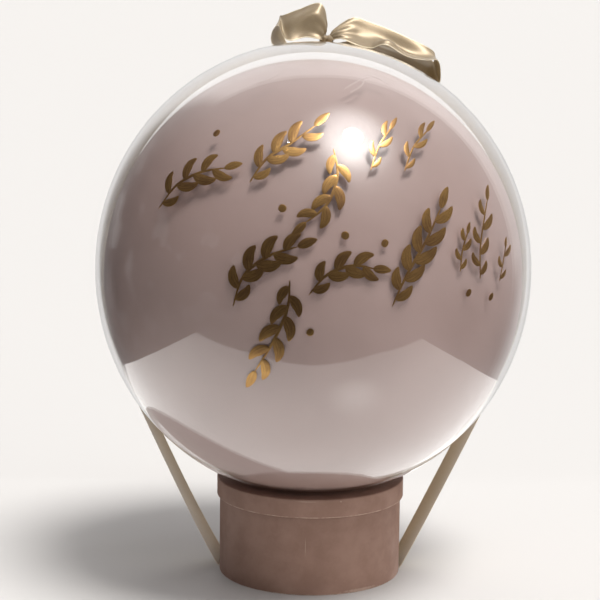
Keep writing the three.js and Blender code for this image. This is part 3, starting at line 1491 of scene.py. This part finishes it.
@dataclass
class Ribbon:
    """The satin ribbon: two straps, the run over the balloon, and the bow.

    Args:
        film: The film's shape.
        width: The ribbon's width.
        thickness: Its thickness.
        gap: How far it stands off the film and the box.
        foot_back: How far behind the box's middle it would meet the floor.
        foot_height: How high its ends are.
        lean: How far it leans back, in radians.
        left_bow: How far the left strap's front and rear edges bow outwards.
        right_bow: The same for the right strap.
        cup: How far a strap's middle stands out from its edges.
        flutter: How far a strap waves.
        edge_lift: How far the ribbon's edges lift off the film.
        steps: How many rows of faces the whole length has.
        cross_steps: How many faces a row has.
        wall_radius: The box's radius, read from the frame.
    """

    film: Spheroid
    width: float = 40 * MM
    thickness: float = 0.35 * MM
    gap: float = 0.5 * MM
    foot_back: float = 18 * MM
    foot_height: float = 1 * MM
    lean: float = math.radians(4.9)
    left_bow: tuple[float, float] = (4.0 * MM, 7.0 * MM)
    right_bow: tuple[float, float] = (2.5 * MM, 2.2 * MM)
    cup: float = 0.8 * MM
    flutter: float = 0.5 * MM
    edge_lift: float = 0.35 * MM
    steps: int = 420
    cross_steps: int = 16
    wall_radius: float = field(init=False)

    def __post_init__(self) -> None:
        """Reads the box's radius from the frame."""
        self.wall_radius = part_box("box_base")[1][0]

    def rib(self, share: float) -> Rib:
        """Works out one thread, which touches the film where a straight line from its foot does.

        Args:
            share: The thread's place as a share of the ribbon's width, from front to rear.

        Returns:
            The thread.
        """
        radius = self.film.radius + self.gap
        half_height = self.film.half_height + self.gap
        middle_height = self.film.centre.z
        back_at_middle = self.foot_back + middle_height * math.tan(self.lean)
        spread = self.width * math.cos(math.asin(back_at_middle / radius))
        back = self.foot_back + (share - 0.5) * spread
        sin, cos = math.sin(self.lean), math.cos(self.lean)
        stretch = (sin / radius) ** 2 + (cos / half_height) ** 2
        middle = (middle_height * cos / half_height**2 - back * sin / radius**2) / stretch
        fill = stretch * middle**2 + 1 - (back / radius) ** 2 - (middle_height / half_height) ** 2
        half_width, half_run = radius * math.sqrt(fill), math.sqrt(fill / stretch)
        foot_run = self.foot_height / cos
        foot_back = back + foot_run * sin
        foot_x = math.sqrt((self.wall_radius + self.gap) ** 2 - foot_back**2)
        across, up = foot_x / half_width, (foot_run - middle) / half_run
        touch = math.atan2(up, across) + math.acos(1 / math.hypot(across, up))
        foot = Vector((foot_x, foot_back, self.foot_height))
        return Rib(foot, touch, back, half_width, middle, half_run, self.lean)

    def strap_length(self) -> float:
        """Returns the length of one free strap."""
        rib = self.rib(0.5)
        return (rib.on_film(rib.touch) - rib.foot).length

    def over_length(self) -> float:
        """Measures the run over the balloon.

        Returns:
            Its length.
        """
        rib = self.rib(0.5)
        steps = 200
        turn = math.pi - 2 * rib.touch
        return run_length([rib.on_film(rib.touch + turn * i / steps) for i in range(steps + 1)])

    def wrap(self, satin: Material) -> None:
        """Makes both straps and the run over the balloon as one piece.

        Args:
            satin: The ribbon's material.
        """
        strap, over = self.strap_length(), self.over_length()
        whole = 2 * strap + over
        wander = random.Random(7)
        waves = [(wander.uniform(9, 31), wander.uniform(0, 6.3)) for _ in range(4)]

        def point_at(along: float, share: float) -> Vector:
            """Finds a place on the ribbon.

            Args:
                along: A share of its length, from the left foot.
                share: A share of its width, from the front.

            Returns:
                The place.
            """
            rib = self.rib(share)
            spot = along * whole
            ripple = sum(math.sin(spot * pace + start) for pace, start in waves) / len(waves)
            if strap <= spot <= strap + over:
                turn = math.pi - rib.touch - (math.pi - 2 * rib.touch) * (spot - strap) / over
                place = rib.on_film(turn)
                side = abs(2 * share - 1) ** 3
                return place + self.film.normal(place) * (self.edge_lift * side * max(0.0, ripple))
            left = spot < strap
            climb = spot / strap if left else (whole - spot) / strap
            free = math.sin(math.pi * climb)
            place = rib.foot.lerp(rib.on_film(rib.touch), climb)
            cup = self.cup * free * (1 - (2 * share - 1) ** 2)
            front_bow, rear_bow = self.left_bow if left else self.right_bow
            bow = (front_bow + (rear_bow - front_bow) * share) * free**0.45
            place.x += bow + cup + self.flutter * ripple * free
            if left:
                place.x = -place.x
            return place

        obj = add_grid("ribbon_wrap", point_at, self.steps, self.cross_steps, whole, self.width)
        thicken(obj, self.thickness, 1.0)
        smooth(obj, 50)
        hand_over(obj, satin, Slot.SATIN, ["ribbon_over_balloon", "ribbon_strap_left", "ribbon_strap_right"])
        LOG.info("ribbon from foot to foot: %.3f m", whole)

    def build(self) -> None:
        """Makes the ribbon and its bow from two copies of one satin: the ribbon's is paler, with painted
        light, and the bow's darker, with painted shade.
        """
        # The ribbon's copy of the satin, with painted light in its paler colours
        self.wrap(SatinFinish(self.width).build())
        # The bow's copy of the satin, with painted shade in its darker colours
        shaded_bow_satin = SatinFinish(
            self.width,
            name="shaded_bow_satin",
            colour=(0.37, 0.296, 0.2),
            shade=(0.295, 0.228, 0.15),
            metal=0.4,
            roughness=0.41,
            sheen=0.1,
        )
        Bow(self).build(shaded_bow_satin.build())


# A place on a loop's edge: how far along it is, as a share of the way from the knot to the tip,
# and how far back and how high, as shares of the ribbon's width
Spot = tuple[float, float, float]

# A loop's front edge and its rear edge, from the knot over the top to the tip and back below
LEFT_STATIONS: tuple[tuple[Spot, Spot], ...] = (
    ((0.0, -0.1, 0.12), (0.0, 0.1, 0.3)),
    ((0.05, -0.22, 0.12), (-0.09, 0.15, 0.72)),
    ((0.32, -0.2, 0.18), (0.04, 0.18, 1.18)),
    ((0.6, -0.33, 0.1), (0.48, 0.35, 1.08)),
    ((0.75, -0.25, 0.22), (0.77, 0.5, 1.04)),
    ((0.86, -0.2, 0.56), (0.85, 0.72, 1.12)),
    ((0.97, -0.18, 0.5), (0.84, 0.76, 0.96)),
    ((1.0, -0.18, 0.26), (0.78, 0.77, 0.68)),
    ((0.92, -0.18, 0.08), (0.68, 0.76, 0.36)),
    ((0.51, -0.14, 0.06), (0.42, 0.7, 0.24)),
    ((0.0, -0.1, 0.05), (0.0, 0.1, 0.06)),
)
RIGHT_STATIONS: tuple[tuple[Spot, Spot], ...] = (
    ((0.0, -0.1, 0.12), (0.0, 0.1, 0.3)),
    ((0.1, -0.24, 0.17), (0.04, 0.2, 0.56)),
    ((0.23, -0.3, 0.08), (0.21, 0.36, 0.99)),
    ((0.36, -0.3, 0.08), (0.37, 0.4, 0.99)),
    ((0.49, -0.38, 0.2), (0.56, 0.4, 1.0)),
    ((0.7, -0.38, 0.24), (0.75, 0.42, 1.04)),
    ((0.86, -0.4, 0.42), (0.9, 0.42, 1.1)),
    ((0.97, -0.38, 0.64), (0.96, 0.46, 1.08)),
    ((1.0, -0.36, 0.42), (0.95, 0.52, 0.86)),
    ((0.98, -0.3, 0.08), (0.92, 0.6, 0.92)),
    ((0.81, -0.2, 0.05), (0.77, 0.66, 0.9)),
    ((0.41, -0.1, 0.06), (0.39, 0.66, 0.7)),
    ((0.15, -0.1, 0.06), (0.15, 0.4, 0.3)),
    ((0.0, -0.1, 0.05), (0.0, 0.1, 0.06)),
)


@dataclass(frozen=True)
class Swell:
    """A bulge or a hollow in a loop.

    Args:
        along: Its middle, as a share of the loop's length.
        across: Its middle, as a share of the ribbon's width from the front.
        long: How far it spreads along the loop.
        wide: How far it spreads across the ribbon.
        height: How far it stands out in millimetres.
    """

    along: float
    across: float
    long: float
    wide: float
    height: float

    def at(self, along: float, across: float) -> float:
        """Returns how far it lifts the ribbon at a place, in metres."""
        away = ((along - self.along) / self.long) ** 2 + ((across - self.across) / self.wide) ** 2
        return self.height * MM * math.exp(-away)


@dataclass(frozen=True)
class LoopPlan:
    """What sets one loop of the bow apart.

    Args:
        piece: The piece's name.
        node: The node that it stands for.
        side: Which way it lies.
        reach: How far it reaches from the middle of the knot.
        stations: What its two edges pass through.
        swells: Its bulges and hollows.
    """

    piece: str
    node: str
    side: Side
    reach: float
    stations: tuple[tuple[Spot, Spot], ...]
    swells: tuple[Swell, ...]


LEFT_LOOP = LoopPlan(
    "bow_left",
    "bow_loop_left",
    Side.LEFT,
    58 * MM,
    LEFT_STATIONS,
    (
        Swell(0.2, 0.62, 0.12, 0.3, 5.0),
        Swell(0.42, 0.3, 0.07, 0.25, -2.0),
        Swell(0.7, 0.5, 0.08, 0.4, 2.5),
    ),
)
RIGHT_LOOP = LoopPlan(
    "bow_right",
    "bow_loop_right",
    Side.RIGHT,
    122 * MM,
    RIGHT_STATIONS,
    (
        Swell(0.17, 0.5, 0.05, 0.35, -3.0),
        Swell(0.36, 0.58, 0.14, 0.3, -9.5),
        Swell(0.31, 0.2, 0.045, 0.26, 8.0),
    ),
)


@dataclass
class Bow:
    """The bow on top: a knot, a short loop on the left and a long one on the right.

    Args:
        ribbon: The ribbon that it is tied in.
        knot_right: How far right of the middle the knot is.
        knot_length: The knot's length along the bow.
        knot_depth: Its depth from front to rear.
        knot_height: Its height.
        knot_crease: How deep its creases are, as a share of its thickness.
        knot_lift: How far it stands off the ribbon below it.
        solid_ribbon: The thickness that the ribbon has in the frame's solids.
        tuck: How far a loop's ends reach into the knot.
        pleats: How many pleats a loop has at the knot.
        pleat_depth: How deep they are.
        folds: How many wider folds run on from them.
        fold_depth: How deep those are.
        steps: How many rows of faces a loop has.
        cross_steps: How many faces a row has.
    """

    ribbon: Ribbon
    knot_right: float = 10.5 * MM
    knot_length: float = 15 * MM
    knot_depth: float = 24 * MM
    knot_height: float = 12 * MM
    knot_crease: float = 0.07
    knot_lift: float = 0.3 * MM
    solid_ribbon: float = 0.8 * MM
    tuck: float = 3 * MM
    pleats: float = 3.5
    pleat_depth: float = 1.5 * MM
    folds: float = 1.5
    fold_depth: float = 0.6 * MM
    steps: int = 220
    cross_steps: int = 36

    def seat(self) -> Vector:
        """Finds where the knot sits, on the outer side of the ribbon.

        Returns:
            The place.
        """
        back = self.ribbon.rib(0.5).on_film(math.pi / 2).y
        height = self.ribbon.film.top(self.knot_right, back, self.ribbon.gap + self.solid_ribbon)
        return Vector((self.knot_right, back, height))

    def edge(self, plan: LoopPlan, which: int) -> list[Vector]:
        """Places one edge of a loop.

        Args:
            plan: The loop's plan.
            which: 0 for the front edge, and 1 for the rear one.

        Returns:
            The places that it passes through.
        """
        seat, width = self.seat(), self.ribbon.width
        root = self.knot_length / 2 - self.tuck
        clearance = self.ribbon.gap + self.solid_ribbon
        places = []
        for station in plan.stations:
            along, back, lift = station[which]
            x = seat.x + plan.side.value * (root + (plan.reach - root) * along)
            y = seat.y + back * width
            places.append(Vector((x, y, self.ribbon.film.top(x, y, clearance) + lift * width)))
        return places

    def loop(self, plan: LoopPlan) -> Object:
        """Makes one loop.

        Args:
            plan: The loop's plan.

        Returns:
            The piece.
        """
        front, rear = self.edge(plan, 0), self.edge(plan, 1)
        shares = [i / self.steps for i in range(self.steps + 1)]
        length = run_length([(on_curve(front, share) + on_curve(rear, share)) / 2 for share in shares])
        width = self.ribbon.width

        def point_at(along: float, share: float) -> Vector:
            """Finds a place on the loop.

            Args:
                along: A share of its length, from the knot.
                share: A share of the ribbon's width.

            Returns:
                The place.
            """
            across = 1 - share if plan.side is Side.LEFT else share
            start, end = on_curve(front, along), on_curve(rear, along)
            ahead, behind = min(1.0, along + 0.01), max(0.0, along - 0.01)
            run = on_curve(front, ahead) + on_curve(rear, ahead)
            run = run - on_curve(front, behind) - on_curve(rear, behind)
            normal = run.cross(end - start).normalized() * plan.side.value
            from_knot = min(along, 1 - along)
            gather = math.exp(-((from_knot / 0.12) ** 2))
            pleat = self.pleat_depth * gather * math.sin(2 * math.pi * self.pleats * across + 0.6)
            fading = math.exp(-((from_knot / 0.3) ** 2))
            fold = self.fold_depth * fading * math.sin(2 * math.pi * self.folds * across + 9 * along)
            swell = sum(item.at(along, across) for item in plan.swells)
            return start.lerp(end, across) + normal * (pleat + fold * (1 - gather) + swell)

        obj = add_grid(plan.piece, point_at, self.steps, self.cross_steps, length, width)
        thicken(obj, self.ribbon.thickness, 1.0)
        smooth(obj, 60)
        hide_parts(plan.node)
        LOG.info("%s: %.3f m of ribbon", plan.piece, length)
        return obj

    def knot(self) -> Object:
        """Makes the knot: the ribbon folded narrow and wrapped once round the middle of the bow.

        Returns:
            The piece.
        """
        seat = self.seat()
        normal = self.ribbon.film.normal(seat)
        add = bpy.ops.mesh.primitive_uv_sphere_add
        obj = add_primitive("bow_wrap", add, segments=72, ring_count=36, radius=1.0)
        edit(obj, everything=True)
        bpy.ops.transform.rotate(value=math.pi / 2, orient_axis="Y", center_override=(0, 0, 0))
        close_edit()
        half = Vector((self.knot_length, self.knot_depth, self.knot_height)) / 2
        for vertex in obj.data.vertices:
            x = max(-1.0, min(1.0, vertex.co.x))
            around = math.atan2(vertex.co.z, vertex.co.y)
            barrel = math.sqrt(1 - x**4)
            crease = 1 - self.knot_crease * (1 + math.cos(3.2 * math.pi * x + 0.9 * math.sin(2 * around)))
            y, z = math.cos(around), math.sin(around)
            vertex.co = Vector((x * half.x, barrel * crease * y * half.y, barrel * crease * z * half.z))
        turn = UP.rotation_difference(normal).to_matrix().to_4x4()
        place = Matrix.Translation(seat + normal * (self.knot_height / 2 + self.knot_lift))
        obj.data.transform(place @ turn)
        uv_map = obj.data.uv_layers[0]
        uv_map.name = RIBBON_RUN
        for item in uv_map.data:
            item.uv = (item.uv[1] * self.ribbon.width, item.uv[0] * 60 * MM)
        smooth(obj, 80)
        return obj

    def build(self, satin: Material) -> None:
        """Makes the two loops and the knot.

        Args:
            satin: The bow's material.
        """
        for plan in (LEFT_LOOP, RIGHT_LOOP):
            hand_over(self.loop(plan), satin, Slot.SATIN)
        hand_over(self.knot(), satin, Slot.SATIN, ["bow_knot"])


# Studio

# The table top's corners that reflections show, seen from above
TABLE_OUTLINE: tuple[PlanePoint, ...] = (
    (-0.76, -0.51),
    (-0.32, -0.6),
    (0.0, -0.576),
    (0.32, -0.6),
    (0.69, -0.53),
    (0.6, -0.13),
    (0.46, 0.38),
    (-0.53, 0.34),
    (-0.655, -0.12),
)


@dataclass
class Studio:
    """A plain pale floor, soft lights, and a surround that only reflections and soft light see.

    Args:
        floor_radius: The floor's radius.
        floor_colour: Its colour.
        sky: The colour of what lies past it.
        sky_strength: How bright that is.
        warm: The colour of the lamps.
        pale: The colour of the table and of the second light.
        table_height: How far the table card lies above the floor.
        table_pool: The middle of the light on it.
        shade_centre: The middle of the balloon's shadow on it, seen from above.
        shade_size: Half the shadow's width and depth.
        shade_height: How far the shadow card lies above the floor.
        shade_colour: The shadow's colour.
        room_radius: How far away the surround is.
        room_dark: Its colour where it is dark.
        room_bright: Its colour where it is bright.
        towards_key: The way from the balloon to the main light.
        towards_fill: The way from it to the second light.
        towards_spark: The way from it to the small lamp.
        key_seen_at: Where the film shows the main light.
        spark_seen_at: Where it shows the small lamp.
        lamp_distance: How far away the lamps are.
    """

    floor_radius: float = 60.0
    floor_colour: Colour = (0.62, 0.616, 0.612)
    sky: Colour = (0.9, 0.895, 0.89)
    sky_strength: float = 0.9
    warm: Colour = (1.0, 0.965, 0.92)
    pale: Colour = (1.0, 0.975, 0.95)
    table_height: float = 0.4 * MM
    table_pool: Triple = (0.144, -0.37, 0.0)
    shade_centre: PlanePoint = (-0.1, 0.17)
    shade_size: PlanePoint = (0.25, 0.27)
    shade_height: float = 0.8 * MM
    shade_colour: Colour = (0.6, 0.5, 0.47)
    room_radius: float = 200.0
    room_dark: Colour = (0.88, 0.8, 0.82)
    room_bright: Colour = (1.0, 0.98, 0.97)
    towards_key: Triple = (0.281, -0.207, 0.937)
    towards_fill: Triple = (0.75, -0.55, 0.35)
    towards_spark: Triple = (-0.197, -0.304, 0.932)
    key_seen_at: Triple = (0.037, -0.168, 0.486)
    spark_seen_at: Triple = (-0.025, -0.175, 0.481)
    lamp_distance: float = 5.0

    def floor(self) -> None:
        """Adds the floor."""
        add = bpy.ops.mesh.primitive_circle_add
        obj = add_primitive("floor", add, vertices=128, radius=self.floor_radius, fill_type="NGON")
        shader = Shader("floor_paint")
        shader.plain(Base_Color=(*self.floor_colour, 1.0), Roughness=0.9, Specular_IOR_Level=0.1)
        obj.data.materials.append(shader.material)
        hide_from(obj, "glossy")

    def glow(self, name: str) -> Shader:
        """Starts a material that only gives light, with its emission still to be set.

        Args:
            name: The material's name.

        Returns:
            The material.
        """
        shader = Shader(name)
        shader.plain(Base_Color=(0, 0, 0, 1), Roughness=1.0, Specular_IOR_Level=0.0)
        return shader

    def finish_card(self, obj: Object, glow: Shader) -> None:
        """Gives a card its glow, and hides it from all but reflections and soft light.

        Args:
            obj: The card.
            glow: Its material.
        """
        obj.data.materials.append(glow.material)
        hide_from(obj, "camera", "transmission", "shadow")

    def table_card(self) -> None:
        """Adds the white table top that the balloon's lower half mirrors."""
        corners = [Vector((x, y, self.table_height)) for x, y in TABLE_OUTLINE]
        obj = add_mesh("table_card", corners, [range(len(corners))])
        shader = self.glow("table_glow")
        place = shader.place()
        white = shader.ramp(shader.split(place)[1], -0.62, -0.25, 0.95, 1.4)
        pool = shader.ramp(shader.vector_calc("DISTANCE", place, self.table_pool), 0.0, 0.12, 0.95, 0.0)
        strength = shader.calc("ADD", white, pool)
        shader.plain(Emission_Color=(*self.pale, 1.0), Emission_Strength=strength)
        self.finish_card(obj, shader)
        hide_from(obj, "diffuse")

    def shade_card(self) -> None:
        """Adds the balloon's own shadow on the table card."""
        add = bpy.ops.mesh.primitive_circle_add
        obj = add_primitive("shade_card", add, vertices=96, radius=1.0, fill_type="NGON")
        obj.scale = (*self.shade_size, 1.0)
        obj.location = (*self.shade_centre, self.shade_height)
        settle_place(obj)
        shader = self.glow("shade_glow")
        shader.plain(Emission_Color=(*self.shade_colour, 1.0), Emission_Strength=0.75)
        self.finish_card(obj, shader)
        hide_from(obj, "diffuse")

    def room(self, shader: Shader, way: Socket) -> Socket:
        """Works out how bright the room is in a direction.

        Args:
            shader: The surround's material.
            way: The direction.

        Returns:
            How bright it is.
        """
        x, y, z = shader.split(way)

        # A pale wall behind, which ends on the left and is brighter higher up
        behind = shader.calc("MULTIPLY_ADD", shader.calc("MAXIMUM", x, 0.0), -0.17, y)
        wall = shader.calc("MULTIPLY", shader.ramp(behind, 0.44, 0.455), shader.ramp(x, -0.6, -0.42))
        wall = shader.calc("MULTIPLY", wall, shader.ramp(z, 0.0, 0.7, 0.7, 1.35))

        # The rest is nearly dark, with some light from above and from the right
        above = shader.ramp(z, 0.35, 1.0, 0.0, 0.4)
        right = shader.ramp(x, 0.0, 0.9, 0.0, 0.22)
        rest = shader.calc("ADD", shader.calc("ADD", above, right), 0.05)

        # Faint blurred things that stand low on the left
        things = shader.ramp(shader.noise(way, 5.5, 1.5), 0.57, 0.63)
        things = shader.calc("MULTIPLY", things, shader.ramp(x, -0.75, -0.4, 0.3, 0.0))
        things = shader.calc("MULTIPLY", things, shader.ramp(z, 0.2, 0.45, 1.0, 0.0))
        level = shader.calc("MAXIMUM", wall, shader.calc("ADD", rest, things))

        # All of it is darker below the table's height, but for what lies behind
        ground = shader.calc("MAXIMUM", shader.ramp(z, -0.2, -0.02, 0.35, 1.0), shader.ramp(y, 0.5, 0.8))
        return shader.calc("MULTIPLY", level, ground)

    def surround(self) -> None:
        """Adds the wide surround: dark on the camera's side and on the left, pale behind and above."""
        add = bpy.ops.mesh.primitive_uv_sphere_add
        obj = add_primitive("surround", add, segments=64, ring_count=32, radius=self.room_radius)
        edit(obj, everything=True)
        bpy.ops.mesh.flip_normals()
        close_edit()
        shader = self.glow("surround_glow")
        way = shader.vector_calc("NORMALIZE", shader.place())
        near_key = shader.vector_calc("DOT_PRODUCT", way, self.towards_key)
        halo = shader.calc("POWER", shader.ramp(near_key, 0.88, 1.0), 4.0)
        level = shader.calc("MULTIPLY_ADD", halo, 4.5, self.room(shader, way))
        tint = shader.blend(shader.ramp(level, 0.05, 0.4), self.room_dark, self.room_bright)
        shader.plain(Emission_Color=tint, Emission_Strength=level)
        self.finish_card(obj, shader)

    def lamp(self, name: str, kind: str, seen_at: Triple, towards: Triple, colour: Colour) -> Object:
        """Adds a lamp that shines on a place.

        Args:
            name: The lamp's name.
            kind: Its type.
            seen_at: The place.
            towards: The way from there to the lamp.
            colour: Its colour.

        Returns:
            The lamp, with its strength and size still to be set.
        """
        data = bpy.data.lights.new(name, kind)
        data.color = colour
        obj = bpy.data.objects.new(name, data)
        bpy.context.scene.collection.objects.link(obj)
        way = Vector(towards)
        obj.location = Vector(seen_at) + way.normalized() * self.lamp_distance
        obj.rotation_euler = way.to_track_quat("Z", "Y").to_euler()
        return obj

    def sun(self, name: str, towards: Triple, strength: float, spread: float, colour: Colour) -> None:
        """Adds a soft light from far away, which reflections don't show.

        Args:
            name: The light's name.
            towards: The way from the balloon to the light.
            strength: How much light it gives.
            spread: Its angular size in degrees.
            colour: Its colour.
        """
        obj = self.lamp(name, "SUN", (0.0, 0.0, 0.0), towards, colour)
        obj.data.energy = strength
        obj.data.angle = math.radians(spread)
        hide_from(obj, "glossy", "transmission")

    def glint(self, name: str, seen_at: Triple, towards: Triple, spread: float, power: float) -> None:
        """Adds a round lamp that only reflections see.

        Args:
            name: The light's name.
            seen_at: Where the film shows it.
            towards: The way from there to the lamp.
            spread: Its angular size in degrees.
            power: Its power in watts.
        """
        obj = self.lamp(name, "AREA", seen_at, towards, self.warm)
        obj.data.shape = "DISK"
        obj.data.size = 2 * self.lamp_distance * math.tan(math.radians(spread / 2))
        obj.data.energy = power
        hide_from(obj, "diffuse")

    def sky_light(self) -> None:
        """Sets the pale sky that the camera sees past the floor."""
        world = bpy.data.worlds.new("sky")
        world.use_nodes = True
        background = world.node_tree.nodes["Background"]
        background.inputs["Color"].default_value = (*self.sky, 1.0)
        background.inputs["Strength"].default_value = self.sky_strength
        bpy.context.scene.world = world

    def build(self) -> None:
        """Sets the stage."""
        self.sky_light()
        self.floor()
        self.table_card()
        self.shade_card()
        self.surround()
        self.sun("key", self.towards_key, strength=2.45, spread=22.0, colour=self.warm)
        self.sun("fill", self.towards_fill, strength=1.25, spread=50.0, colour=self.pale)
        self.glint("key_glint", self.key_seen_at, self.towards_key, spread=9.0, power=150.0)
        self.glint("spark", self.spark_seen_at, self.towards_spark, spread=1.7, power=3.0)


def main() -> None:
    """Builds the camera, the pieces in order, and the stage."""
    logging.basicConfig(level=logging.INFO, format="%(name)s: %(message)s")
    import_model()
    bpy.context.scene.view_settings.view_transform = "Standard"
    ViewPoint().build()
    balloon = BubbleBalloon()
    Ribbon(balloon.outer).build()
    HatBox().build()
    balloon.build()
    BrushWork(balloon.outer).build()
    FilmCreases(balloon.outer).build()
    Studio().build()


if __name__ == "__main__":
    main()
